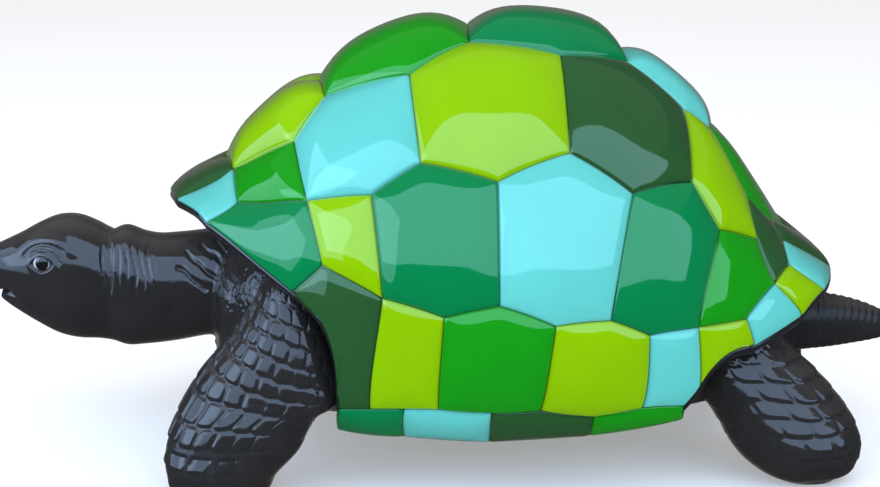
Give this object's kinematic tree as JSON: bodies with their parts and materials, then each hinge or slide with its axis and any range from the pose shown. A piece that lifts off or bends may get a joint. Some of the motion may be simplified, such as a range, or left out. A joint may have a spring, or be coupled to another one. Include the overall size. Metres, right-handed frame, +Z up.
{
  "type": "turtle garden sculpture",
  "caption": "Large garden turtle, one hollow glass-fibre casting with a patchwork of swelling painted plates on a high shell and glossy black skin.",
  "frame": {"origin": "on the ground under the middle of the turtle's length and width", "axes": "+X toward the tail along the length, +Y across the width, +Z up; the head looks along -X"},
  "size_m": [1.16, 0.6056, 0.5413],
  "materials": {
    "lacquered_casting": "glass-fibre casting painted in greens, turquoise and black under a thick clear gloss lacquer"
  },
  "bodies": {
    "root": {"turtle": "lacquered_casting"}
  },
  "joints": []
}
